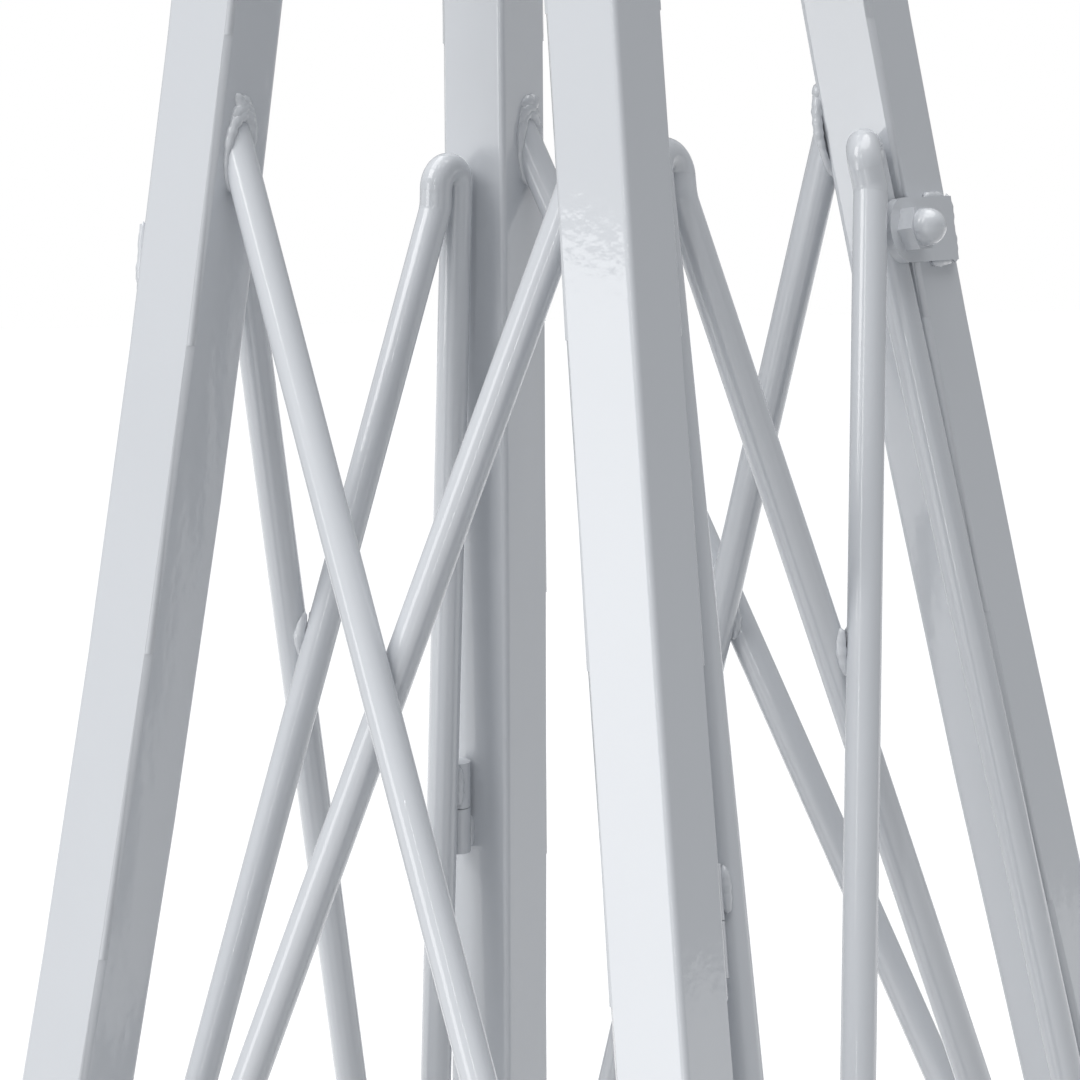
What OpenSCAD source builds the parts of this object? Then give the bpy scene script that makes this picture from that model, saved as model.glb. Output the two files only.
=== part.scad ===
// Tall four-legged garden trellis: curved square legs, crossed rods and hinged rod panels.
// Millimetres, +Z up, origin on the ground in the middle of the four feet.
// The left and back legs stand at -X, the left and front legs at -Y.

/* [Legs] */
// Height of the legs from the ground to their top ends
leg_height = 1850; // [1500:10:1900]
// Outside width of the square leg tube
leg_w = 25; // [20:0.5:30]
// Wall of the leg tube
leg_wall = 1.5; // [1.2:0.1:2.5]
// Outside corner radius of the leg tube
leg_corner = 2; // [1:0.5:4]
// Bend radius of the legs, in the plane of the diagonal
flare_r = 6500; // [6000:50:8000]
// Height at which the bent legs would stand upright
upright_at = 2007; // [1950:1:2100]
// Distance from the middle to a leg's centre line at that height, along X and along Y
upright_half = 15.4; // [15.2:0.2:24]

/* [Feet, cap and finial] */
// Thickness of the foot plug's flange under the leg
foot_flange = 3; // [2:0.5:6]
// Length of the foot plug inside the leg
foot_reach = 14; // [8:1:25]
// Clearance of the plug in the tube on each side
plug_clear = 0.15; // [0.1:0.05:0.4]
// Thickness of the cap's top plate
cap_plate = 4; // [3:0.5:8]
// Depth of the cap's skirt
cap_skirt = 22; // [12:1:40]
// Wall of the cap's skirt
cap_wall = 2.5; // [1.5:0.5:4]
// Clearance of the skirt round the legs
cap_clear = 0.2; // [0.1:0.1:1]
// Diameter of the finial ball
ball_d = 46; // [30:1:60]
// Diameter of the finial's neck
neck_d = 18; // [12:1:26]
// Height of the finial's neck
neck_h = 9; // [4:1:20]
// Diameter of the finial's spigot in the cap
spigot_d = 8; // [6:0.5:12]

/* [Tiers of rods] */
// Diameter of the rods with their coating
rod_d = 10.5; // [8:0.5:12]
// Height of the lower tier's bottom
lower_bottom = 50; // [40:5:100]
// Height of the lower tier's top
lower_top = 420; // [390:5:440]
// Height of the middle tier's bottom
middle_bottom = 490; // [470:5:520]
// Height of the middle tier's top
middle_top = 974; // [940:2:980]
// Height of the upper tier's bottom
upper_bottom = 1090; // [1060:5:1110]
// Height of the upper tier's top
upper_top = 1410; // [1390:5:1440]
// How far two crossing rods are pressed into each other at the weld
weld_bite = 0.2; // [0.1:0.05:0.4]
// Depth of the fixed outer rod's centre behind the legs' outer faces
fixed_inset = 7.35; // [6:0.05:8]

/* [Hinged rod panels] */
// Depth of the inner hairpin's centre behind the legs' outer faces
swing_inset = 8.35; // [7:0.05:9]
// Distance from the hinge-side leg to that hairpin's centre at the top
hinge_gap_top = 7; // [6.6:0.1:9]
// The same distance at the bottom
hinge_gap_bottom = 30.5; // [28:0.5:34]
// Distance from the lock-side leg to the outer hairpin's centre at the top
lock_gap_top = 6; // [5.9:0.1:8]
// How much further from its leg that hairpin stands in the narrow upper tier, for its stud to swing past the leg
upper_lock_more = 1.8; // [1.5:0.1:4]
// The same distance at the bottom
lock_gap_bottom = 14; // [12:0.5:20]
// Free space between the two sides of the hinge-side hairpin at its top
hinge_bend_space = 0.9; // [0.8:0.1:4]
// The same space for the lock-side hairpin, across the panel
lock_bend_space = 1.5; // [1:0.1:5]
// Length of the short parallel stretch under the top bend
bend_straight = 6.5; // [6:0.5:12]
// Centre-line radius of the slight bend under that stretch
kink_r = 8; // [7:0.5:9]
// Depth of the lock-side rod's centre behind the lock tab's inner face
lock_inset = 5.8; // [5.55:0.05:6.5]

/* [Hinges] */
// Share of the tier's height at which the hinge's joint lies
hinge_share = 0.54; // [0.4:0.01:0.6]
// Outside diameter of the hinge barrels
barrel_d = 8; // [7:0.25:9]
// Length of each half of the hinge barrel
barrel_len = 16; // [12:1:24]
// Diameter of the hinge pin
pin_d = 4.5; // [3.5:0.25:5]
// Length of the pin above the lower half
pin_len = 13.5; // [9:0.5:20]
// Running clearance round the pin
pin_clear = 0.1; // [0.05:0.01:0.1]
// Gap between the two halves of the barrel
barrel_gap = 0.3; // [0.2:0.1:1]
// Gap between the lower barrel and the swinging rod
barrel_rod_gap = 0.35; // [0.3:0.05:1]
// Thickness of the hinge's leaf
leaf_t = 3; // [2:0.5:4]
// Height of the hinge's leaf
leaf_h = 9; // [6:1:14]
// Distance from the top of the lower barrel to its leaf
leaf_drop = 4.5; // [2:0.5:6]

/* [Lock tabs and nuts] */
// Distance of the tab's centre below the tier's top
tab_drop = 32; // [26:1:60]
// Height of the tab
tab_h = 20; // [16:1:30]
// Thickness of the tab
tab_t = 3; // [2:0.5:5]
// Reach of the tab past the leg's inner side
tab_reach = 17; // [14:0.5:24]
// How much less a tab reaches in a tier of no height, to stay clear of the steeper rods
tab_taper = 8.5; // [0:0.5:12]
// Reach of the tab over the leg's face
tab_over = 22; // [15:1:24]
// Diameter of the threaded stud
stud_d = 6; // [5:0.5:8]
// Length of the stud beyond the tab
stud_out = 5; // [4:0.5:8]
// Clearance round the stud in the tab and the nut
stud_clear = 1.2; // [1.1:0.1:1.5]
// Width of the cap nut across its flats
nut_af = 13; // [12:0.5:16]
// Height of the cap nut's hexagon
nut_h = 5; // [4:0.5:8]
// Diameter of the cap nut's dome
nut_dome = 11.6; // [11:0.2:14]

/* [Hidden] */
$fn = 48;
half_diag = leg_w / (2 * sqrt(2));
arc_r = flare_r;
arc_x = upright_half * sqrt(2) + flare_r;
foot_h = foot_flange;
cross_step = rod_d - weld_bite;
bend_swell = 0.08;
bend_lap = 0.3;

// Distance of a fibre of the leg from the middle, along the diagonal, at height z.
// q is the fibre's place across the tube, outwards from the tube's centre line.
function leg_r(q, z) = arc_x - sqrt(pow(arc_r - q, 2) - pow(upright_at - z, 2));
// Half distances at height z: to the legs' outer faces and to the inner sides of the legs.
function face_out(z) = (leg_r(half_diag, z) + half_diag) / sqrt(2);
function face_in(z) = (leg_r(-half_diag, z) - half_diag) / sqrt(2);
// Lean of the legs' faces at height z, in degrees.
function lean(z) = atan((upright_at - z) / sqrt(arc_r * arc_r - pow(upright_at - z, 2)) / sqrt(2));
function slope_in(z) = (face_in(z - 20) - face_in(z + 20)) / 40;

// A tier is given as [bottom, top]. Its frame lies on the legs' outer face at mid height:
// x runs across the panel, y goes inwards, z runs up along the leaning face.
function mid(t) = (t[0] + t[1]) / 2;
function loc(t, z) = (z - mid(t)) / cos(lean(mid(t)));
function height_of(t, s) = mid(t) + s * cos(lean(mid(t)));
function in_at(t, s) = face_in(height_of(t, s));
function unit(v) = v / norm(v);
hinge_turn = rod_d + hinge_bend_space;
lock_turn = rod_d + lock_bend_space;
lower = [lower_bottom, lower_top];
middle = [middle_bottom, middle_top];
upper = [upper_bottom, upper_top];

// Places of the hinged panel's rods in the tier's frame.
function s_top(t) = loc(t, t[1]) - rod_d / 2 - lock_turn / 2;
function s_bottom(t) = loc(t, t[0] + rod_d / 2);
function spread(t) = (t[1] - t[0]) / (middle_top - middle_bottom);
function hinge_top(t) = [-(in_at(t, s_top(t)) - hinge_gap_top), swing_inset, s_top(t)];
function hinge_bot(t) = [-(in_at(t, s_bottom(t)) - hinge_gap_bottom), swing_inset, s_bottom(t)];
function tab_z(t) = t[1] - tab_drop;
function bow(t, z) = (face_out(z) - face_out(mid(t))) * cos(lean(mid(t)))
  + (z - mid(t)) * sin(lean(mid(t)));
function lock_y(t) = lock_inset - bow(t, tab_z(t));
function lock_more(t) = t == upper ? upper_lock_more : 0;
function lock_top(t) = [in_at(t, s_top(t)) - lock_gap_top - lock_more(t), lock_y(t), s_top(t)];
function lock_low_gap(t) = lock_gap_top + (lock_gap_bottom - lock_gap_top) * spread(t);
function lock_bot(t) = [in_at(t, s_bottom(t)) - lock_low_gap(t), lock_y(t), s_bottom(t)];
function side_step(t) = sqrt(pow(rod_d, 2) - pow(swing_inset - lock_y(t), 2)) - weld_bite;
function at_s(a, b, s) = a + (b - a) * (s - a[2]) / (b[2] - a[2]);

// Places of the hinge in the tier's frame.
function s_hinge(t) = loc(t, t[0] + hinge_share * (t[1] - t[0]));
function hinge_tilt(t) = atan(slope_in(height_of(t, s_hinge(t))) * cos(lean(mid(t))));
function hinge_pos(t) = at_s(hinge_top(t), hinge_bot(t), s_hinge(t))
  - [rod_d / 2 + barrel_d / 2 + barrel_rod_gap, 0, 0];
function stud_pos(t) = at_s(lock_top(t), lock_bot(t), loc(t, tab_z(t)));

module coat() {
  color([0.86, 0.88, 0.89]) children();
}

module rounded_square(w, r) {
  square([w - 2 * r, w], center = true);
  square([w, w - 2 * r], center = true);
  for (i = [-1, 1]) {
    for (j = [-1, 1]) {
      translate([i * (w / 2 - r), j * (w / 2 - r)]) circle(r = r, $fn = 24);
    }
  }
}

// A profile bent along a leg's line between two heights, in the diagonal plane of angle turn.
module along_leg(turn, z0, z1) {
  a0 = asin((upright_at - z1) / arc_r);
  a1 = asin((upright_at - z0) / arc_r);
  rotate([0, 0, turn])
    translate([arc_x, 0, upright_at])
      rotate([90, 0, 0])
        rotate([0, 0, 180 + a0])
          rotate_extrude(angle = a1 - a0, $fn = 1440)
            translate([arc_r, 0])
              rotate([0, 0, 45])
                children();
}

module leg_bar(turn, w, r, z0, z1) {
  along_leg(turn, z0, z1) rounded_square(w, r);
}

// The space of a whole leg, to cope other pieces to its flat sides.
module leg_space(turn, z0, z1) {
  along_leg(turn, z0, z1) square([leg_w, leg_w], center = true);
}

// The same for the rods of the front-left side: both legs' spaces go on inwards behind the rods.
module left_rod_space(z0, z1) {
  along_leg(225, z0, z1)
    translate([-leg_w / 2, -leg_w / 2]) square([leg_w + 12, leg_w]);
}

module right_rod_space(z0, z1) {
  along_leg(315, z0, z1)
    translate([-leg_w / 2, -leg_w / 2 - 12]) square([leg_w, leg_w + 12]);
}

module slab(z0, z1) {
  translate([-400, -400, z0]) cube([800, 800, z1 - z0]);
}

module leg(turn) {
  intersection() {
    difference() {
      leg_bar(turn, leg_w, leg_corner, foot_h - 12, leg_height + 12);
      leg_bar(turn, leg_w - 2 * leg_wall, leg_corner / 2, foot_h - 20, leg_height + 20);
    }
    slab(foot_h, leg_height);
  }
}

module foot_plug(turn) {
  intersection() {
    leg_bar(turn, leg_w, leg_corner, -12, foot_h + 12);
    slab(0, foot_h);
  }
  intersection() {
    leg_bar(turn, leg_w - 2 * leg_wall - 2 * plug_clear, leg_corner / 2, -12, foot_h + foot_reach + 12);
    slab(foot_h / 2, foot_h + foot_reach);
  }
}

module foot_plugs() {
  coat() {
    for (a = [45, 135, 225, 315]) foot_plug(a);
  }
}

module top_cap() {
  inner = 2 * (face_out(leg_height - cap_skirt) + cap_clear);
  outer = inner + 2 * cap_wall;
  coat() difference() {
    translate([-outer / 2, -outer / 2, leg_height - cap_skirt])
      cube([outer, outer, cap_skirt + cap_plate]);
    translate([-inner / 2, -inner / 2, leg_height - cap_skirt - 1])
      cube([inner, inner, cap_skirt + 1]);
    translate([0, 0, leg_height - 1]) cylinder(d = spigot_d + 0.2, h = cap_plate + 2);
  }
}

module finial() {
  base = leg_height + cap_plate;
  coat() {
    translate([0, 0, base - cap_plate]) cylinder(d = spigot_d, h = cap_plate + 1);
    translate([0, 0, base]) cylinder(d = neck_d + 8, h = 3);
    translate([0, 0, base]) cylinder(d = neck_d, h = neck_h + 4);
    translate([0, 0, base + neck_h + ball_d / 2]) sphere(d = ball_d, $fn = 64);
  }
}

// Frames of the four sides. The back-left side is the front-right one turned half round;
// the back-right side is the front-left one mirrored.
module side_fl() {
  children();
}

module side_fr() {
  rotate([0, 0, 90]) children();
}

module side_bl() {
  rotate([0, 0, 270]) children();
}

module side_br() {
  mirror([0, 1, 0]) children();
}

module on_face(z) {
  translate([0, -face_out(z), z]) rotate([-lean(z), 0, 0]) children();
}

module straight(a, b, d) {
  v = b - a;
  translate(a)
    rotate([0, acos(v[2] / norm(v)), atan2(v[1], v[0])])
      cylinder(d = d, h = norm(v));
}

// Part of a ring of rod: it starts at begin from its centre and turns about the normal n.
module ring_part(centre, begin, n, angle) {
  tip = acos(n[2]);
  yaw = atan2(n[1], n[0]);
  ex = [cos(tip) * cos(yaw), cos(tip) * sin(yaw), -sin(tip)];
  ey = [-sin(yaw), cos(yaw), 0];
  translate(centre)
    rotate([0, tip, yaw])
      rotate([0, 0, atan2(begin * ey, begin * ex)])
        rotate_extrude(angle = angle)
          translate([norm(begin), 0]) circle(d = rod_d + bend_swell);
}

// A bend of the rod at corner c between the directions to a and to b.
module bend(a, c, b, r) {
  ua = unit(a - c);
  ub = unit(b - c);
  open = acos(ua * ub);
  centre = c + unit(ua + ub) * (r / sin(open / 2));
  begin = c + ua * (r / tan(open / 2)) - centre;
  ring_part(centre, begin, unit(cross(begin, ub)), 180 - open);
}

function trim(a, c, b, r) = c + unit(a - c) * (r / tan(acos(unit(a - c) * unit(b - c)) / 2));

// The rod that goes up beside a leg from p0, turns back at q1 across the offset w,
// and goes down across the panel to p4.
module hairpin(p0, q1, w, p4) {
  up = unit(q1 - p0);
  q2 = q1 + w - up * (w * up);
  p3 = q2 - up * bend_straight;
  lap = up * bend_lap;
  slant = unit(p3 - p4) * bend_lap;
  coat() {
    straight(p0, q1 + lap, rod_d);
    ring_part((q1 + q2) / 2, (q1 - q2) / 2, unit(cross(q1 - q2, up)), 180);
    straight(q2 + lap, trim(q2, p3, p4, kink_r) - lap, rod_d);
    bend(q2, p3, p4, kink_r);
    straight(trim(p4, p3, q2, kink_r) + slant, p4, rod_d);
  }
}

module loop_hinge(t) {
  on_face(mid(t))
    hairpin(hinge_bot(t), hinge_top(t), [hinge_turn, 0, 0],
      [lock_bot(t)[0] - side_step(t), swing_inset, s_bottom(t)]);
}

module loop_lock(t) {
  outer_y = swing_inset - cross_step;
  on_face(mid(t))
    hairpin(lock_bot(t), lock_top(t), [-lock_turn, outer_y - lock_y(t), 0],
      [hinge_bot(t)[0] - 3, outer_y, s_bottom(t)]);
}

// How far a rod's slanted cut reaches along it, where it meets a leg at the angle a.
function cut_reach(a) = rod_d / 2 / tan(a) + 2;

// A straight rod of the fixed panels, coped to the sides of its two legs.
module fixed_rod(t, depth, way) {
  top = [way * in_at(t, loc(t, t[1])), depth, loc(t, t[1])];
  low = [-way * in_at(t, loc(t, t[0])), depth, loc(t, t[0])];
  v = unit(top - low);
  run = atan(abs(top[0] - low[0]) / (top[2] - low[2]));
  over = cut_reach(run + atan(slope_in(t[1])));
  under = cut_reach(run - atan(slope_in(t[0])));
  sink = (depth + rod_d / 2) * sin(lean(mid(t))) + rod_d / 2 * sin(run);
  left = way < 0 ? [t[1], over] : [t[0], under];
  right = way < 0 ? [t[0], under] : [t[1], over];
  coat() difference() {
    on_face(mid(t)) straight(low - v * under, top + v * over, rod_d);
    left_rod_space(left[0] - left[1] - sink, left[0] + left[1] + 3);
    right_rod_space(right[0] - right[1] - sink, right[0] + right[1] + 3);
  }
}

module fixed_outer(t) {
  fixed_rod(t, fixed_inset, -1);
}

module fixed_inner(t) {
  fixed_rod(t, fixed_inset + cross_step, 1);
}

module at_hinge(t) {
  on_face(mid(t)) translate(hinge_pos(t)) rotate([0, hinge_tilt(t), 0]) children();
}

module sleeve(t) {
  coat() at_hinge(t) translate([0, 0, barrel_gap]) difference() {
    cylinder(d = barrel_d, h = barrel_len);
    translate([0, 0, -1]) cylinder(d = pin_d + 2 * pin_clear, h = pin_len + 1.2);
  }
}

// The lower half of the hinge, with its pin and the leaf on the leg.
module hinge_pin(t) {
  z = height_of(t, s_hinge(t));
  reach = face_in(z) + hinge_pos(t)[0] + 3;
  coat() {
    at_hinge(t) {
      translate([0, 0, -barrel_len]) cylinder(d = barrel_d, h = barrel_len);
      translate([0, 0, -1]) cylinder(d = pin_d, h = pin_len + 1);
    }
    difference() {
      at_hinge(t)
        translate([-reach, -leaf_t / 2, -leaf_drop - leaf_h])
          cube([reach, leaf_t, leaf_h]);
      leg_space(225, t[0], t[1]);
    }
  }
}

module stud(t) {
  coat() on_face(mid(t))
    translate(stud_pos(t))
      rotate([90, 0, 0])
        cylinder(d = stud_d, h = lock_inset + tab_t + stud_out);
}

// Place of the stud's axis on the leg's face at the tab.
module at_tab(t) {
  on_face(tab_z(t)) translate([stud_pos(t)[0], 0, 0]) rotate([90, 0, 0]) children();
}

module tab(t) {
  edge = face_in(tab_z(t)) - stud_pos(t)[0];
  left = edge - tab_reach + tab_taper * (1 - spread(t));
  coat() difference() {
    union() {
      at_tab(t) translate([left + tab_h / 2, -tab_h / 2, 0])
        cube([edge + tab_over - left - tab_h / 2, tab_h, tab_t]);
      at_tab(t) translate([left + tab_h / 2, 0, 0]) cylinder(d = tab_h, h = tab_t);
      at_tab(t) translate([edge + 3, -tab_h / 2, -1]) cube([tab_over - 4, tab_h, tab_t]);
    }
    at_tab(t) translate([0, 0, -2]) cylinder(d = stud_d + 2 * stud_clear, h = tab_t + 4);
    leg_space(315, t[1] - tab_drop - tab_h, t[1] - tab_drop + tab_h);
  }
}

module nut(t) {
  coat() at_tab(t) translate([0, 0, tab_t]) difference() {
    union() {
      cylinder(d = nut_af / cos(30), h = nut_h, $fn = 6);
      cylinder(d = nut_dome, h = nut_h + 1.5);
      translate([0, 0, nut_h + 1.5]) sphere(d = nut_dome);
    }
    translate([0, 0, -1]) cylinder(d = stud_d + 2 * stud_clear, h = stud_out + 2.2);
  }
}

module three(which) {
  for (t = [lower, middle, upper]) {
    if (which == "tab") tab(t);
    if (which == "nut") nut(t);
  }
}

coat() leg(225);  // leg_left
coat() leg(135);  // leg_back
coat() leg(315);  // leg_front
coat() leg(45);  // leg_right
foot_plugs();
top_cap();
finial();
side_fl() fixed_outer(lower);  // rod_fl_lower_outer
side_fl() fixed_inner(lower);  // rod_fl_lower_inner
side_fl() fixed_outer(middle);  // rod_fl_middle_outer
side_fl() fixed_inner(middle);  // rod_fl_middle_inner
side_fl() fixed_outer(upper);  // rod_fl_upper_outer
side_fl() fixed_inner(upper);  // rod_fl_upper_inner
side_br() fixed_outer(lower);  // rod_br_lower_outer
side_br() fixed_inner(lower);  // rod_br_lower_inner
side_br() fixed_outer(middle);  // rod_br_middle_outer
side_br() fixed_inner(middle);  // rod_br_middle_inner
side_br() fixed_outer(upper);  // rod_br_upper_outer
side_br() fixed_inner(upper);  // rod_br_upper_inner
side_fr() loop_hinge(lower);  // loop_fr_lower_hinge
side_fr() loop_lock(lower);  // loop_fr_lower_lock
side_fr() loop_hinge(middle);  // loop_fr_middle_hinge
side_fr() loop_lock(middle);  // loop_fr_middle_lock
side_fr() loop_hinge(upper);  // loop_fr_upper_hinge
side_fr() loop_lock(upper);  // loop_fr_upper_lock
side_bl() loop_hinge(lower);  // loop_bl_lower_hinge
side_bl() loop_lock(lower);  // loop_bl_lower_lock
side_bl() loop_hinge(middle);  // loop_bl_middle_hinge
side_bl() loop_lock(middle);  // loop_bl_middle_lock
side_bl() loop_hinge(upper);  // loop_bl_upper_hinge
side_bl() loop_lock(upper);  // loop_bl_upper_lock
side_fr() sleeve(lower);  // sleeve_fr_lower
side_fr() sleeve(middle);  // sleeve_fr_middle
side_fr() sleeve(upper);  // sleeve_fr_upper
side_bl() sleeve(lower);  // sleeve_bl_lower
side_bl() sleeve(middle);  // sleeve_bl_middle
side_bl() sleeve(upper);  // sleeve_bl_upper
side_fr() hinge_pin(lower);  // pin_fr_lower
side_fr() hinge_pin(middle);  // pin_fr_middle
side_fr() hinge_pin(upper);  // pin_fr_upper
side_bl() hinge_pin(lower);  // pin_bl_lower
side_bl() hinge_pin(middle);  // pin_bl_middle
side_bl() hinge_pin(upper);  // pin_bl_upper
side_fr() stud(lower);  // stud_fr_lower
side_fr() stud(middle);  // stud_fr_middle
side_fr() stud(upper);  // stud_fr_upper
side_bl() stud(lower);  // stud_bl_lower
side_bl() stud(middle);  // stud_bl_middle
side_bl() stud(upper);  // stud_bl_upper
side_fr() three("tab");  // tabs_right
side_bl() three("tab");  // tabs_left
side_fr() three("nut");  // nuts_right
side_bl() three("nut");  // nuts_left
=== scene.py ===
import math

import bpy
from mathutils import Matrix, Vector


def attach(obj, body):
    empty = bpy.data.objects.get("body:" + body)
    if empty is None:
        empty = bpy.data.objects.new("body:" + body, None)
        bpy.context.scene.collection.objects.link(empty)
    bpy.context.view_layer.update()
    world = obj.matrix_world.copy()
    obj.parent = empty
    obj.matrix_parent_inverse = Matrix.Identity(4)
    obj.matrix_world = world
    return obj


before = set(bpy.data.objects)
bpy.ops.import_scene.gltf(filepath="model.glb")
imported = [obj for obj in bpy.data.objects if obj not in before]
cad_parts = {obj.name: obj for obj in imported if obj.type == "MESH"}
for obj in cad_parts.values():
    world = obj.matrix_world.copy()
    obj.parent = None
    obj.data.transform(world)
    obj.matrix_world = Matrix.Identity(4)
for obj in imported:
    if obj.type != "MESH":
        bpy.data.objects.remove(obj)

bl_info = {
    "name": "Garden trellis looks",
    "version": (1, 0, 0),
    "blender": (4, 0, 0),
    "location": "3D View > Sidebar > Trellis",
    "description": "Coats the steel trellis, lays its weld beads and sets the stage",
    "category": "Object",
}

# The trellis's lines, in millimetres, as in its solid model.
LEG_W = 25.0
FLARE_R = 6500.0
UPRIGHT_AT = 2007.0
UPRIGHT_HALF = 15.4
ROD_D = 10.5
FIXED_INSET = 7.35
SWING_INSET = 8.35
CROSS_STEP = 10.3
LOCK_INSET = 5.8
HINGE_GAPS = (7.0, 30.5)
LOCK_GAPS = (6.0, 14.0)
UPPER_LOCK_MORE = 1.8
HINGE_TURN = 11.4
LOCK_TURN = 12.0
HINGE_SHARE = 0.54
BARREL_D = 8.0
BARREL_ROD_GAP = 0.35
LEAF_T = 3.0
LEAF_DROP = 4.5
TAB_DROP = 32.0
TAB_H = 20.0
TAB_OVER = 22.0
TIERS = {"lower": (50.0, 420.0), "middle": (490.0, 974.0), "upper": (1090.0, 1410.0)}
HALF_DIAG = LEG_W / (2 * math.sqrt(2))
ARC_X = UPRIGHT_HALF * math.sqrt(2) + FLARE_R

# Half the height over which the slope of a leg's side is taken.
SLOPE_REACH = 20

# Weld beads: radius and pitch in metres, and the share of the radius that each kind has.
BEAD_RADIUS = 0.0019
BEAD_RIPPLE = 0.06
BEAD_PITCH = 0.0034
BEAD_SEED = 7
BEAD_SIDES = 10
BEAD_BLUNTNESS = 0.4
POINTS_PER_RIPPLE = 4
UNEVEN_SCALE = 130.0
UNEVEN_RANGE = (0.72, 1.3)
ROD_END_SHARE = 0.6
ROD_TIP_SHARE = 1.1
CROSSING_SHARE = 1.1
PANEL_SHARE = 0.95
STUD_SHARE = 0.45
TAB_SHARE = 0.85
LEAF_SHARE = 0.75

# Where the beads run: places in millimetres, and how many points a ring has.
RING_POINTS = 40
RING_RISE = 0.1
# Each arc over a rod's tip: ring points to either side, distance outwards, distance past the tip.
TIP_ARCS = ((11, 0.2, 0.0), (7, 0.1, 1.9), (4, -0.2, 3.9))
TOP_RUN = (-1, 1.5, 4, 6)
TOP_RUN_SLANT = 0.7
CROSSING_STEPS = (-7.5, -5, -2.5, 0, 2.5, 5, 7.5)
CROSSING_BEND = 0.03
FIXED_CROSSING_OUT = 3.3
SWING_CROSSING_OUT = 3.4
BEND_DROP = 6
LOWER_END_GAP = 0.2
LOWER_END_REACH = 3
CORNER_RISE = 2
CORNER_STEPS = (0, 4, 8, 12)
HINGE_CORNER_OUT = (3.6, -3.4)
LOCK_CORNER_STEPS = (0, 5, 10, 15, 20)
LOCK_CORNER_OUT = ((-5.2, -4.4), (-4.0, 4.6))
SLEEVE_STEPS = (1.5, 5, 9, 13, 15.3)
SLEEVE_OUT = (-3.1, 3.1)
STUD_RING_R = 3.2
STUD_RING_POINTS = 24
STUD_RING_RISE = 0.7
TAB_STEPS = (9, 12, 15, 18, 20.5)
TAB_EDGE_RISE = 0.2
TAB_EDGE_Y = -0.9
TAB_END_STEPS = (-11, -9, -4, 0, 4, 9, 11)
TAB_END_Y = -1.5
LEAF_STEPS = (0, -3, -6, -9)
LEAF_RISE = 0.4

# Patterns of the coat, its shades and the plugs' plastic.
COAT_ROUGHNESS = 0.05
CLOUD_SCALE = 14.0
RUN_SCALE = 75.0
RUN_STRETCH = 0.12
RUN_TO_PEEL = 3.8
WELD_SHADE = 0.985
WELD_ROUGHER = 0.04
WELD_PEEL = 1.6
FASTENER_SHADE = 1.01
FASTENER_SMOOTHER = 0.03
FASTENER_PEEL = 1.3
PLUG_COLOUR = (0.60, 0.615, 0.635)
PLUG_ROUGHNESS = 0.5
PLUG_PEEL_SCALE = 600.0
PLUG_PEEL_HEIGHT = 0.0001

# The stage, in metres.
FLOOR_HALF = 30.0
FLOOR_Z = -0.0005
FLOOR_COLOUR = (0.95, 0.95, 0.95, 1)
SKY_COLOUR = (0.94, 0.965, 1.0, 1)
SKY_STRENGTH = 0.385
# Each lamp: kind, name, place, size (an angle for a sun), power, colour, height that it is aimed at
# (0 points straight down).
LAMPS = (
    ("AREA", "key_soft", (-1.2, -3.1, 3.7), (3.0, 2.2), 90.0, (1.0, 0.995, 0.985), 0.85),
    ("AREA", "low_card", (-1.48, -3.0, 0.88), (1.25, 1.36), 17.0, (1.0, 1.0, 1.0), 0.85),
    ("AREA", "line_light", (1.2, -3.3, 1.3), (0.12, 2.4), 8.0, (1, 1, 1), 1.2),
    ("SUN", "overhead", (0.0, 0.0, 6.0), (1.2, 0.0), 2.4, (1, 1, 1), 0.0),
)


def leg_r(q, z):
    """Distance of a fibre of the leg from the middle, along the diagonal, at height z."""
    return ARC_X - math.sqrt((FLARE_R - q) ** 2 - (UPRIGHT_AT - z) ** 2)


def face_out(z):
    """Half the distance between the legs' outer faces at height z."""
    return (leg_r(HALF_DIAG, z) + HALF_DIAG) / math.sqrt(2)


def face_in(z):
    """Half the distance between the legs' inner sides at height z."""
    return (leg_r(-HALF_DIAG, z) - HALF_DIAG) / math.sqrt(2)


def side_slope(z):
    """How fast a leg's inner side nears the middle with height, at height z."""
    return (face_in(z - SLOPE_REACH) - face_in(z + SLOPE_REACH)) / (2 * SLOPE_REACH)


def lean(z):
    """Lean of the legs' faces at height z, in radians."""
    d = UPRIGHT_AT - z
    return math.atan(d / math.sqrt(FLARE_R**2 - d * d) / math.sqrt(2))


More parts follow.
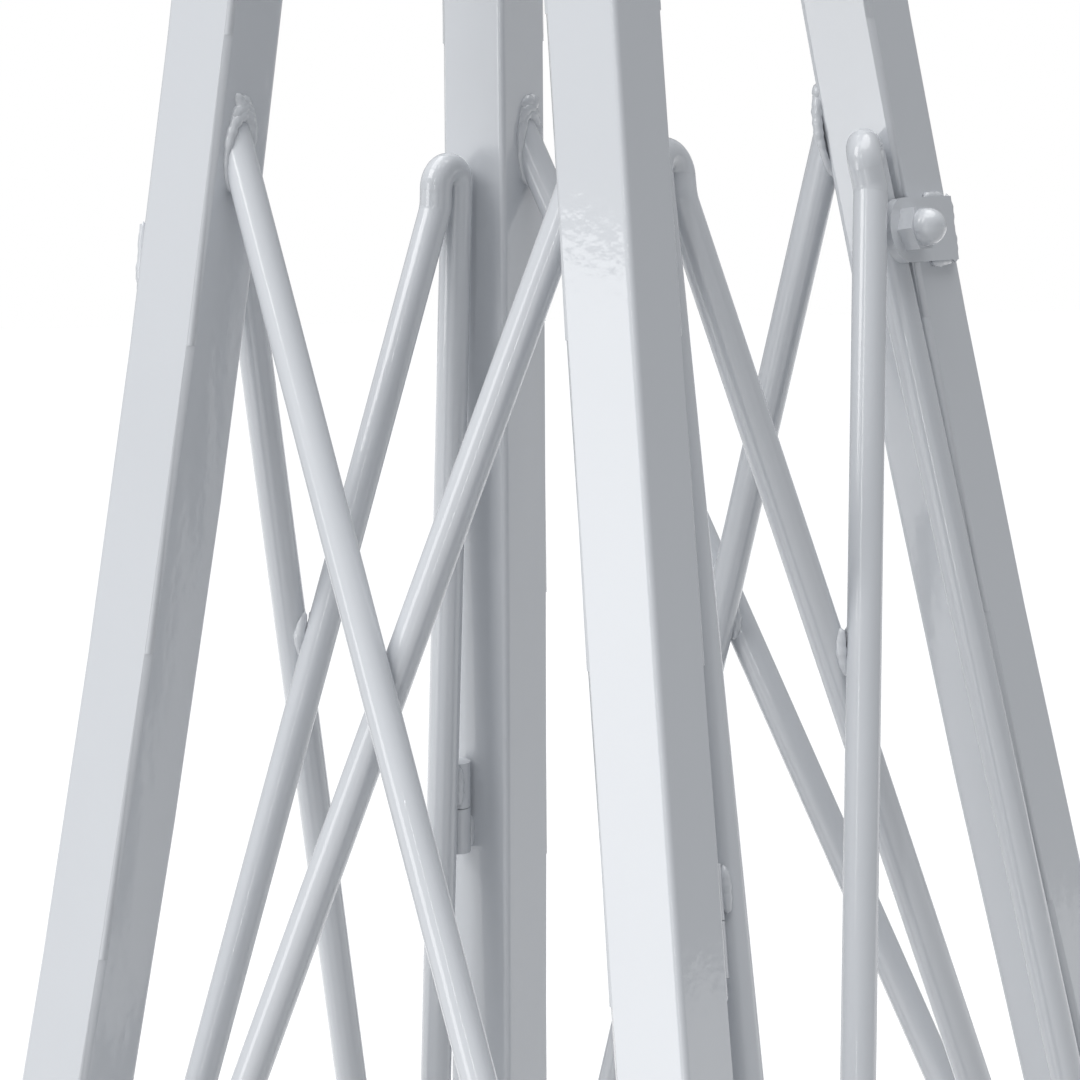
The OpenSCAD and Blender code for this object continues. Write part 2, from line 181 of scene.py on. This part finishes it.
class Tier:
    """One tier of rods, in the frame of its side: x across, y inwards, s up along the leaning faces."""

    def __init__(self, name):
        self.low, self.top = TIERS[name]
        self.mid = (self.low + self.top) / 2
        self.upright_share = math.cos(lean(self.mid))
        self.s_top = self.loc(self.top) - ROD_D / 2 - LOCK_TURN / 2
        self.s_low = self.loc(self.low + ROD_D / 2)
        spread = (self.top - self.low) / (TIERS["middle"][1] - TIERS["middle"][0])
        self.tab_z = self.top - TAB_DROP
        bow = (face_out(self.tab_z) - face_out(self.mid)) * self.upright_share
        bow += (self.tab_z - self.mid) * math.sin(lean(self.mid))
        self.lock_y = LOCK_INSET - bow
        low_gap = LOCK_GAPS[0] + (LOCK_GAPS[1] - LOCK_GAPS[0]) * spread
        self.hinge_a = Vector((-(self.side(self.s_top) - HINGE_GAPS[0]), SWING_INSET, self.s_top))
        self.hinge_b = Vector((-(self.side(self.s_low) - HINGE_GAPS[1]), SWING_INSET, self.s_low))
        more = UPPER_LOCK_MORE if name == "upper" else 0.0
        self.lock_a = Vector((self.side(self.s_top) - LOCK_GAPS[0] - more, self.lock_y, self.s_top))
        self.lock_b = Vector((self.side(self.s_low) - low_gap, self.lock_y, self.s_low))
        self.s_hinge = self.loc(self.low + HINGE_SHARE * (self.top - self.low))
        beside_rod = ROD_D / 2 + BARREL_D / 2 + BARREL_ROD_GAP
        self.hinge = self.hinge_rod(self.s_hinge) - Vector((beside_rod, 0, 0))
        self.tilt = math.atan(side_slope(self.height(self.s_hinge)) * self.upright_share)

    def loc(self, z):
        """Place s along the leaning face of a point at height z."""
        return (z - self.mid) / self.upright_share

    def height(self, s):
        """Height over the ground of the place s along the face."""
        return self.mid + s * self.upright_share

    def side(self, s):
        """Half the distance between the legs' inner sides at the place s."""
        return face_in(self.height(s))

    def hinge_rod(self, s):
        """Point of the upright rod beside the hinge's leg."""
        return self.hinge_a + (self.hinge_b - self.hinge_a) * (
            (s - self.hinge_a.z) / (self.hinge_b.z - self.hinge_a.z)
        )

    def lock_rod(self, s):
        """Point of the upright rod beside the lock tab's leg."""
        return self.lock_a + (self.lock_b - self.lock_a) * (
            (s - self.lock_a.z) / (self.lock_b.z - self.lock_a.z)
        )


def on_face(z, p):
    """A point of the side's frame at height z, in millimetres, on the front-left side."""
    a = lean(z)
    y = -face_out(z) + p[1] * math.cos(a) + p[2] * math.sin(a)
    return Vector((p[0], y, z - p[1] * math.sin(a) + p[2] * math.cos(a)))


def on_side(side, p):
    """Turns a front-left point to one of the four sides and to metres."""
    x, y, z = p
    x, y = {"fl": (x, y), "fr": (-y, x), "bl": (y, -x), "br": (x, -y)}[side]
    return Vector((x, y, z)) / 1000


def lay_out(side, z, path):
    """A path in the side's frame at height z, as points in metres on the side that it belongs to."""
    return [on_side(side, on_face(z, p)) for p in path]


class CoatSettings(bpy.types.PropertyGroup):
    colour: bpy.props.FloatVectorProperty(
        name="Coat colour",
        description="Colour of the powder coat",
        subtype="COLOR", size=3, min=0, max=1, default=(0.635, 0.655, 0.685),
    )
    roughness: bpy.props.FloatProperty(
        name="Coat roughness",
        description="Roughness of the body under its clear gloss",
        default=0.4, min=0.02, max=1, subtype="FACTOR",
    )
    peel_scale: bpy.props.FloatProperty(
        name="Orange peel scale",
        description="Waves of the coat's orange peel per metre",
        default=260.0, min=20, max=2000,
    )
    peel_height: bpy.props.FloatProperty(
        name="Orange peel height",
        description="Height of the orange peel",
        default=0.0001, min=0, max=0.002, unit="LENGTH",
    )


class WeldSettings(bpy.types.PropertyGroup):
    bead: bpy.props.FloatProperty(
        name="Bead radius",
        description="Radius of a weld bead",
        default=BEAD_RADIUS, min=0.0005, max=0.005, unit="LENGTH",
    )
    ripple: bpy.props.FloatProperty(
        name="Ripple",
        description="How much the bead's radius changes along its ripples",
        default=BEAD_RIPPLE, min=0, max=0.6, subtype="FACTOR",
    )
    pitch: bpy.props.FloatProperty(
        name="Ripple pitch",
        description="Length of one ripple of the bead",
        default=BEAD_PITCH, min=0.001, max=0.01, unit="LENGTH",
    )
    seed: bpy.props.IntProperty(
        name="Seed",
        description="Seed of the bead's uneven width",
        default=BEAD_SEED, min=0,
    )


class StageSettings(bpy.types.PropertyGroup):
    azimuth: bpy.props.FloatProperty(
        name="Camera azimuth",
        description="Angle of the camera round the trellis",
        default=0.6184, subtype="ANGLE", unit="ROTATION",
    )
    elevation: bpy.props.FloatProperty(
        name="Camera elevation",
        description="Angle of the camera above level",
        default=0.0750, subtype="ANGLE", unit="ROTATION",
    )
    roll: bpy.props.FloatProperty(
        name="Camera roll",
        description="Turn of the camera about its line of sight",
        default=-0.0348, subtype="ANGLE", unit="ROTATION",
    )
    distance: bpy.props.FloatProperty(
        name="Camera distance",
        description="Distance from the trellis's middle line",
        default=1.35696, min=0.3, max=10, unit="LENGTH",
    )
    side_step: bpy.props.FloatProperty(
        name="Camera side step",
        description="Sideways step of the camera",
        default=-0.006794, unit="LENGTH",
    )
    target_height: bpy.props.FloatProperty(
        name="Height looked at",
        description="Height of the picture's middle on the trellis",
        default=0.850, unit="LENGTH",
    )
    lens: bpy.props.FloatProperty(
        name="Lens",
        description="Focal length for a 36 mm sensor",
        default=145.748, min=20, max=400, unit="CAMERA",
    )


def node_maker(tree):
    """Returns a function that adds a node to the tree, with its inputs typed in or linked."""

    def add(kind, inputs=None, **settings):
        node = tree.nodes.new(kind)
        for key, value in settings.items():
            setattr(node, key, value)
        for key, value in (inputs or {}).items():
            if isinstance(value, bpy.types.NodeSocket):
                tree.links.new(value, node.inputs[key])
            else:
                node.inputs[key].default_value = value
        return node

    return add


def node_material(name, colour, roughness, peel_scale, peel_height, coat=1.0, speck=0.012):
    """A coated or plastic surface: its colour drifts slightly, under a fine uneven skin."""
    mat = bpy.data.materials.new(name)
    mat.use_nodes = True
    mat.node_tree.nodes.clear()
    add = node_maker(mat.node_tree)
    coords = add("ShaderNodeTexCoord").outputs["Object"]
    cloud = add("ShaderNodeTexNoise", {"Vector": coords, "Scale": CLOUD_SCALE, "Detail": 3.0})
    shade = add("ShaderNodeValToRGB", {"Fac": cloud.outputs["Fac"]})
    dark, light = shade.color_ramp.elements
    dark.position, light.position = 0.3, 0.7
    dark.color = (*(max(0.0, c - speck) for c in colour), 1)
    light.color = (*colour, 1)
    tall = add("ShaderNodeMapping", {"Vector": coords, "Scale": (1.0, 1.0, RUN_STRETCH)})
    run = {"Vector": tall.outputs["Vector"], "Scale": RUN_SCALE, "Detail": 1.5}
    runs = {
        "Strength": 0.4,
        "Distance": peel_height * RUN_TO_PEEL,
        "Height": add("ShaderNodeTexNoise", run).outputs["Fac"],
    }
    peel = {"Vector": coords, "Scale": peel_scale, "Detail": 2.0}
    skin = {
        "Strength": 0.35,
        "Distance": peel_height,
        "Height": add("ShaderNodeTexNoise", peel).outputs["Fac"],
        "Normal": add("ShaderNodeBump", runs).outputs["Normal"],
    }
    normal = add("ShaderNodeBump", skin).outputs["Normal"]
    surface = {
        "Base Color": shade.outputs["Color"],
        "Metallic": 0.0,
        "Roughness": roughness,
        "Normal": normal,
        "Coat Weight": coat,
        "Coat Roughness": COAT_ROUGHNESS,
        "Coat Normal": normal,
    }
    look = add("ShaderNodeBsdfPrincipled", surface)
    add("ShaderNodeOutputMaterial", {"Surface": look.outputs["BSDF"]})
    return mat


def bead_group():
    """Geometry nodes: edges become uneven, rippled weld beads."""
    group = bpy.data.node_groups.new("WeldBead", "GeometryNodeTree")
    sockets = group.interface
    sockets.new_socket("Geometry", in_out="INPUT", socket_type="NodeSocketGeometry")
    for name, kind, value in (
        ("Bead Radius", "NodeSocketFloat", BEAD_RADIUS),
        ("Ripple", "NodeSocketFloat", BEAD_RIPPLE),
        ("Ripple Pitch", "NodeSocketFloat", BEAD_PITCH),
        ("Seed", "NodeSocketInt", BEAD_SEED),
        ("Taper", "NodeSocketFloat", 1.0),
    ):
        sockets.new_socket(name, in_out="INPUT", socket_type=kind).default_value = value
    sockets.new_socket("Material", in_out="INPUT", socket_type="NodeSocketMaterial")
    sockets.new_socket("Geometry", in_out="OUTPUT", socket_type="NodeSocketGeometry")
    add = node_maker(group)

    def maths(operation, *values):
        return add("ShaderNodeMath", dict(enumerate(values)), operation=operation).outputs[0]

    given = add("NodeGroupInput").outputs
    pitch = given["Ripple Pitch"]
    seam = add("GeometryNodeMeshToCurve", {"Mesh": given["Geometry"]}).outputs["Curve"]
    spacing = {"Curve": seam, "Length": maths("MULTIPLY", pitch, 1 / POINTS_PER_RIPPLE)}
    line = add("GeometryNodeResampleCurve", spacing, mode="LENGTH").outputs["Curve"]
    along = add("GeometryNodeSplineParameter").outputs
    wave = maths("SINE", maths("MULTIPLY", maths("DIVIDE", along["Length"], pitch), 2 * math.pi))
    blotches = {"Scale": UNEVEN_SCALE, "W": given["Seed"]}
    spread = {
        "Value": add("ShaderNodeTexNoise", blotches, noise_dimensions="4D").outputs["Fac"],
        "From Min": 0.3,
        "From Max": 0.7,
        "To Min": UNEVEN_RANGE[0],
        "To Max": UNEVEN_RANGE[1],
    }
    uneven = add("ShaderNodeMapRange", spread).outputs["Result"]
    width = maths("MULTIPLY_ADD", wave, given["Ripple"], uneven)
    hump = maths("MULTIPLY", along["Factor"], maths("SUBTRACT", 1.0, along["Factor"]))
    blunt = maths("POWER", maths("MULTIPLY", hump, 4.0), BEAD_BLUNTNESS)
    ends = maths("MULTIPLY_ADD", maths("SUBTRACT", blunt, 1.0), given["Taper"], 1.0)
    radius = maths("MULTIPLY", maths("MULTIPLY", width, ends), given["Bead Radius"])
    core = add("GeometryNodeSetCurveRadius", {"Curve": line, "Radius": radius})
    round_wire = {"Resolution": BEAD_SIDES, "Radius": 1.0}
    outline = add("GeometryNodeCurvePrimitiveCircle", round_wire).outputs["Curve"]
    swept = {"Curve": core.outputs["Curve"], "Profile Curve": outline, "Fill Caps": True}
    skin = add("GeometryNodeCurveToMesh", swept)
    if "Scale" in skin.inputs:
        group.links.new(radius, skin.inputs["Scale"])
    smooth = add("GeometryNodeSetShadeSmooth", {"Geometry": skin.outputs["Mesh"]})
    real = add("GeometryNodeRealizeInstances", {"Geometry": smooth.outputs["Geometry"]})
    finish = {"Geometry": real.outputs["Geometry"], "Material": given["Material"]}
    coated = add("GeometryNodeSetMaterial", finish)
    add("NodeGroupOutput", {"Geometry": coated.outputs["Geometry"]})
    return group


def lay_beads(name, paths, body, scale=1.0):
    """Weld beads along the paths (lists of points in metres; a closed one repeats its first point)."""
    if not paths:
        raise RuntimeError(f"{name} has no bead paths")
    verts, edges, taper = [], [], 1.0
    for path in paths:
        closed = (path[0] - path[-1]).length < 1e-7
        points = path[:-1] if closed else path
        start = len(verts)
        verts += [tuple(p) for p in points]
        edges += [(start + i, start + i + 1) for i in range(len(points) - 1)]
        if closed:
            edges.append((start + len(points) - 1, start))
            taper = 0.0
    mesh = bpy.data.meshes.new(name + "_paths")
    mesh.from_pydata(verts, edges, [])
    seams = bpy.data.objects.new(name + "_paths", mesh)
    bpy.context.scene.collection.objects.link(seams)
    group = bpy.data.node_groups.get("WeldBead") or bead_group()
    modifier = seams.modifiers.new("Beads", "NODES")
    modifier.node_group = group
    weld = bpy.context.scene.trellis_weld
    values = {
        "Bead Radius": weld.bead * scale,
        "Ripple": weld.ripple,
        "Ripple Pitch": weld.pitch,
        "Seed": weld.seed,
        "Taper": taper,
        "Material": bpy.data.materials["weld_coat"],
    }
    for item in group.interface.items_tree:
        if item.item_type == "SOCKET" and item.in_out == "INPUT" and item.name in values:
            modifier[item.identifier] = values[item.name]
    graph = bpy.context.evaluated_depsgraph_get()
    graph.update()
    beads = bpy.data.meshes.new_from_object(seams.evaluated_get(graph))
    if not beads.polygons:
        raise RuntimeError(f"{name} made no faces")
    beads.name = name
    piece = bpy.data.objects.new(name, beads)
    bpy.context.scene.collection.objects.link(piece)
    seams.modifiers.clear()
    bpy.data.objects.remove(seams)
    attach(piece, body)
    return piece


def ring_on_plane(centre, axis, normal, radius):
    """Where a rod's side meets the plane through centre: a closed ellipse."""
    axis, normal = axis.normalized(), normal.normalized()
    u = axis.orthogonal().normalized()
    v = axis.cross(u)
    ring = []
    for i in range(RING_POINTS):
        a = 2 * math.pi * i / RING_POINTS
        p = centre + (u * math.cos(a) + v * math.sin(a)) * radius
        ring.append(p + axis * ((centre - p).dot(normal) / axis.dot(normal)))
    return ring + [ring[0].copy()]


def fixed_rod(tier, inner):
    """Top and bottom of a fixed rod's centre line on the legs' sides, in the side's frame."""
    way = 1 if inner else -1
    y = FIXED_INSET + (CROSS_STEP if inner else 0)
    s_top, s_low = tier.loc(tier.top), tier.loc(tier.low)
    return Vector((way * tier.side(s_top), y, s_top)), Vector((-way * tier.side(s_low), y, s_low))


def rod_end_beads(point, axis, z, at_top):
    """The ring round one end of a fixed rod, and the short runs heaped over its tip."""
    normal = Vector((-1 if point.x > 0 else 1, 0, -side_slope(z))).normalized()
    ring = ring_on_plane(point, axis, normal, ROD_D / 2 + RING_RISE)
    way = 1 if at_top else -1
    tip = max(range(RING_POINTS), key=lambda i: way * ring[i].z)
    runs = []
    for reach, out, past in TIP_ARCS:
        shift = normal * out + Vector((0, 0, way * past))
        spots = [(tip + i) % RING_POINTS for i in range(-reach, reach + 1)]
        runs.append([ring[i] + shift for i in spots])
    if at_top:
        start = ring[tip] + normal * RING_RISE
        runs.append([start + Vector((0, -TOP_RUN_SLANT * h, h)) for h in TOP_RUN])
    return ring, runs


def crossing_beads(x, y, s, out):
    """Two bent beads, one on each side of a crossing."""
    beads = []
    for way in (-1, 1):
        bend = [(h, x + way * (out - CROSSING_BEND * h * h)) for h in CROSSING_STEPS]
        beads.append([Vector((bent, y, s + h)) for h, bent in bend])
    return beads


def fixed_crossing(lines):
    """Place along the face where the two rods of a fixed side cross."""
    heights = []
    for top, low in lines:
        share = top.x / (top.x - low.x)
        heights.append(top.z + (low.z - top.z) * share)
    return sum(heights) / 2


def panel_beads(tier):
    """Beads of a hinged panel in the side's frame: crossing, lower corners and hinge sleeve."""
    outer = SWING_INSET - CROSS_STEP
    between = (SWING_INSET + outer) / 2
    beside = math.sqrt(ROD_D**2 - (SWING_INSET - tier.lock_y) ** 2)
    end_x = tier.lock_b.x - beside + LOWER_END_GAP
    a = tier.hinge_a + Vector((HINGE_TURN, 0, -BEND_DROP))
    b = Vector((end_x, SWING_INSET, tier.s_low))
    c = tier.lock_a + Vector((-LOCK_TURN, 0, -BEND_DROP))
    d = Vector((tier.hinge_b.x - LOWER_END_REACH, outer, tier.s_low))
    cross = a + (b - a) * ((c.x - a.x) / ((b.x - a.x) - (d.x - c.x)))
    beads = crossing_beads(cross.x, between, cross.z, SWING_CROSSING_OUT)
    s = tier.s_low + CORNER_RISE
    for out in HINGE_CORNER_OUT:
        row = [(tier.hinge_rod(s + h).x + out, between, s + h) for h in CORNER_STEPS]
        beads.append([Vector(p) for p in row])
    y = (tier.lock_y + SWING_INSET) / 2
    for out, inwards in LOCK_CORNER_OUT:
        row = [(tier.lock_rod(s + h).x + out, y + inwards, s + h) for h in LOCK_CORNER_STEPS]
        beads.append([Vector(p) for p in row])
    hinge = tier.hinge
    for out in SLEEVE_OUT:
        row = []
        for h in SLEEVE_STEPS:
            barrel = hinge.x + math.tan(tier.tilt) * h + BARREL_D / 2
            rod = tier.hinge_rod(hinge.z + h).x
            row.append(Vector(((barrel + rod - ROD_D / 2) / 2, hinge.y + out, hinge.z + h)))
        beads.append(row)
    return beads


def stud_bead(tier):
    """The ring where the threaded stud stands on the lock-side rod, in the side's frame."""
    stud = tier.lock_rod(tier.loc(tier.tab_z))
    ring = []
    for i in range(STUD_RING_POINTS + 1):
        a = 2 * math.pi * i / STUD_RING_POINTS
        x, z = STUD_RING_R * math.cos(a), STUD_RING_R * math.sin(a)
        y = stud.y - math.sqrt((ROD_D / 2) ** 2 - x * x) + STUD_RING_RISE
        ring.append(Vector((stud.x + x, y, stud.z + z)))
    return ring


def tab_beads(tier):
    """Beads along the two long edges and the outer end of a lock tab, in the frame at its height."""
    edge = face_in(tier.tab_z)
    beads = []
    for way in (-1, 1):
        h = way * (TAB_H / 2 + TAB_EDGE_RISE)
        beads.append([Vector((edge + d, TAB_EDGE_Y, h)) for d in TAB_STEPS])
    beads.append([Vector((edge + TAB_OVER, TAB_END_Y, h)) for h in TAB_END_STEPS])
    return beads


def leaf_bead(tier):
    """The closed bead where a hinge leaf meets its leg, in the side's frame."""
    s = tier.hinge.z - LEAF_DROP
    seam = []
    for dy, steps in ((-LEAF_T / 2, LEAF_STEPS), (LEAF_T / 2, LEAF_STEPS[::-1])):
        for h in steps:
            seam.append(Vector((-tier.side(s + h) + LEAF_RISE, tier.hinge.y + dy, s + h)))
    return seam + [seam[0].copy()]


class TRELLIS_OT_coat(bpy.types.Operator):
    """Gives every steel piece its glossy coat and the foot plugs their plastic"""

    bl_idname = "trellis.coat"
    bl_label = "Coat the steel"

    def execute(self, context):
        s = context.scene.trellis_coat
        colour, scale, height = tuple(s.colour), s.peel_scale, s.peel_height
        darker = tuple(c * WELD_SHADE for c in colour)
        lighter = tuple(min(1, c * FASTENER_SHADE) for c in colour)
        rougher, smoother = s.roughness + WELD_ROUGHER, s.roughness - FASTENER_SMOOTHER
        coat = node_material("powder_coat", colour, s.roughness, scale, height)
        weld = node_material("weld_coat", darker, rougher, scale * WELD_PEEL, height * WELD_PEEL)
        small = node_material("fastener_coat", lighter, smoother, scale * FASTENER_PEEL, height)
        plastic = (PLUG_COLOUR, PLUG_ROUGHNESS, PLUG_PEEL_SCALE, PLUG_PEEL_HEIGHT)
        plug = node_material("plug_plastic", *plastic, coat=0.0)
        weld.use_fake_user = True
        for name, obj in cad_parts.items():
            mat = coat
            if name.startswith(("nuts_", "stud_")):
                mat = small
            elif name == "foot_plugs":
                mat = plug
            obj.data.materials.clear()
            obj.data.materials.append(mat)
        return {"FINISHED"}


class TRELLIS_OT_rod_welds(bpy.types.Operator):
    """Lays the weld beads round the ends of the fixed rods and at the back-right crossings"""

    bl_idname = "trellis.rod_welds"
    bl_label = "Weld the fixed rods"

    def execute(self, context):
        ends, tips, crossings = [], [], []
        for side in ("fl", "br"):
            for tier in map(Tier, TIERS):
                lines = [fixed_rod(tier, inner) for inner in (False, True)]
                for top, low in lines:
                    for point, z, at_top in ((top, tier.top, True), (low, tier.low, False)):
                        ring, runs = rod_end_beads(point, top - low, z, at_top)
                        ends.append(lay_out(side, tier.mid, ring))
                        tips += [lay_out(side, tier.mid, run) for run in runs]
                if side == "br":
                    y, s = FIXED_INSET + CROSS_STEP / 2, fixed_crossing(lines)
                    beads = crossing_beads(0.0, y, s, FIXED_CROSSING_OUT)
                    crossings += [lay_out(side, tier.mid, bead) for bead in beads]
        lay_beads("welds_rod_ends", ends, "frame", ROD_END_SHARE)
        lay_beads("welds_rod_tips", tips, "frame", ROD_TIP_SHARE)
        lay_beads("welds_rod_crossings", crossings, "frame", CROSSING_SHARE)
        return {"FINISHED"}


class TRELLIS_OT_panel_welds(bpy.types.Operator):
    """Lays the beads of each hinged panel: crossing, lower corners, hinge sleeve and stud"""

    bl_idname = "trellis.panel_welds"
    bl_label = "Weld the hinged panels"

    def execute(self, context):
        for side in ("fr", "bl"):
            for name in TIERS:
                tier, body = Tier(name), f"panel_{side}_{name}"
                beads = [lay_out(side, tier.mid, bead) for bead in panel_beads(tier)]
                lay_beads(f"welds_{body}", beads, body, PANEL_SHARE)
                ring = lay_out(side, tier.mid, stud_bead(tier))
                lay_beads(f"weld_stud_{side}_{name}", [ring], body, STUD_SHARE)
        return {"FINISHED"}


class TRELLIS_OT_leg_welds(bpy.types.Operator):
    """Lays the beads that hold the lock tabs and the hinge leaves on the legs"""

    bl_idname = "trellis.leg_welds"
    bl_label = "Weld tabs and leaves"

    def execute(self, context):
        tabs, leaves = [], []
        for side in ("fr", "bl"):
            for tier in map(Tier, TIERS):
                tabs += [lay_out(side, tier.tab_z, bead) for bead in tab_beads(tier)]
                leaves.append(lay_out(side, tier.mid, leaf_bead(tier)))
        lay_beads("welds_lock_tabs", tabs, "frame", TAB_SHARE)
        lay_beads("welds_hinge_leaves", leaves, "frame", LEAF_SHARE)
        return {"FINISHED"}


def lay_floor(scene):
    """A pale floor that throws no light back on the trellis."""
    e, z = FLOOR_HALF, FLOOR_Z
    mesh = bpy.data.meshes.new("studio_floor")
    mesh.from_pydata([(-e, -e, z), (e, -e, z), (e, e, z), (-e, e, z)], [], [(0, 1, 2, 3)])
    floor = bpy.data.objects.new("studio_floor", mesh)
    scene.collection.objects.link(floor)
    mat = bpy.data.materials.new("floor_pale")
    mat.use_nodes = True
    surface = mat.node_tree.nodes["Principled BSDF"].inputs
    surface["Base Color"].default_value = FLOOR_COLOUR
    surface["Roughness"].default_value = 0.9
    mesh.materials.append(mat)
    floor.visible_diffuse = False


def light_sky(scene):
    """A faint bluish light from all round, which the camera itself sees as plain white."""
    world = bpy.data.worlds.new("studio")
    world.use_nodes = True
    world.node_tree.nodes.clear()
    add = node_maker(world.node_tree)
    lit = add("ShaderNodeBackground", {"Color": SKY_COLOUR, "Strength": SKY_STRENGTH})
    seen = add("ShaderNodeBackground", {"Color": (1, 1, 1, 1), "Strength": 1.0})
    looked_at = add("ShaderNodeLightPath").outputs["Is Camera Ray"]
    parts = {"Fac": looked_at, 1: lit.outputs["Background"], 2: seen.outputs["Background"]}
    mix = add("ShaderNodeMixShader", parts)
    add("ShaderNodeOutputWorld", {"Surface": mix.outputs["Shader"]})
    scene.world = world


def hang_lamp(scene, kind, name, place, size, power, colour, height):
    """Adds one lamp of the stage's list."""
    data = bpy.data.lights.new(name, kind)
    if kind == "AREA":
        data.shape = "RECTANGLE"
        data.size, data.size_y = size
    else:
        data.angle = size[0]
    data.energy = power
    data.color = colour
    lamp = bpy.data.objects.new(name, data)
    lamp.location = place
    goal = Vector((0, 0, height)) if height else Vector((place[0], place[1], 0))
    lamp.rotation_euler = (goal - Vector(place)).to_track_quat("-Z", "Y").to_euler()
    lamp.visible_camera = False
    scene.collection.objects.link(lamp)


def set_camera(scene):
    """Puts the camera where the photograph was taken from."""
    s = scene.trellis_stage
    az, el, roll = s.azimuth, s.elevation, s.roll
    ahead = Vector((-math.sin(az) * math.cos(el), math.cos(az) * math.cos(el), -math.sin(el)))
    level = Vector((math.cos(az), math.sin(az), 0))
    upright = level.cross(ahead)
    right = level * math.cos(roll) + upright * math.sin(roll)
    up = upright * math.cos(roll) - level * math.sin(roll)
    data = bpy.data.cameras.new("photo_view")
    data.sensor_width = 36.0
    data.lens = s.lens
    data.clip_start, data.clip_end = 0.05, 60.0
    camera = bpy.data.objects.new("photo_view", data)
    place = Matrix((right, up, -ahead)).transposed().to_4x4()
    place.translation = Vector((0, 0, s.target_height)) - ahead * s.distance + right * s.side_step
    camera.matrix_world = place
    scene.collection.objects.link(camera)
    scene.camera = camera


class TRELLIS_OT_stage(bpy.types.Operator):
    """Sets the pale floor, the soft lights and the camera of the photograph"""

    bl_idname = "trellis.stage"
    bl_label = "Set the stage"

    def execute(self, context):
        scene = context.scene
        lay_floor(scene)
        light_sky(scene)
        for lamp in LAMPS:
            hang_lamp(scene, *lamp)
        scene.view_settings.view_transform = "Standard"
        scene.view_settings.look = "None"
        set_camera(scene)
        return {"FINISHED"}


class TRELLIS_PT_panel(bpy.types.Panel):
    bl_label = "Garden trellis"
    bl_idname = "TRELLIS_PT_panel"
    bl_space_type = "VIEW_3D"
    bl_region_type = "UI"
    bl_category = "Trellis"

    def draw(self, context):
        layout = self.layout
        scene = context.scene
        for group in (scene.trellis_coat, scene.trellis_weld, scene.trellis_stage):
            box = layout.box()
            for prop in group.bl_rna.properties:
                if prop.identifier not in {"rna_type", "name"}:
                    box.prop(group, prop.identifier)
        for op in OPERATORS:
            layout.operator(op.bl_idname)


OPERATORS = (
    TRELLIS_OT_coat,
    TRELLIS_OT_rod_welds,
    TRELLIS_OT_panel_welds,
    TRELLIS_OT_leg_welds,
    TRELLIS_OT_stage,
)
CLASSES = (CoatSettings, WeldSettings, StageSettings, *OPERATORS, TRELLIS_PT_panel)


def register():
    for cls in CLASSES:
        bpy.utils.register_class(cls)
    bpy.types.Scene.trellis_coat = bpy.props.PointerProperty(type=CoatSettings)
    bpy.types.Scene.trellis_weld = bpy.props.PointerProperty(type=WeldSettings)
    bpy.types.Scene.trellis_stage = bpy.props.PointerProperty(type=StageSettings)


def unregister():
    del bpy.types.Scene.trellis_coat
    del bpy.types.Scene.trellis_weld
    del bpy.types.Scene.trellis_stage
    for cls in reversed(CLASSES):
        bpy.utils.unregister_class(cls)


def main():
    register()
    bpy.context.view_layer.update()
    bpy.ops.trellis.coat()
    bpy.ops.trellis.rod_welds()
    bpy.ops.trellis.panel_welds()
    bpy.ops.trellis.leg_welds()
    bpy.ops.trellis.stage()


if __name__ == "__main__":
    main()
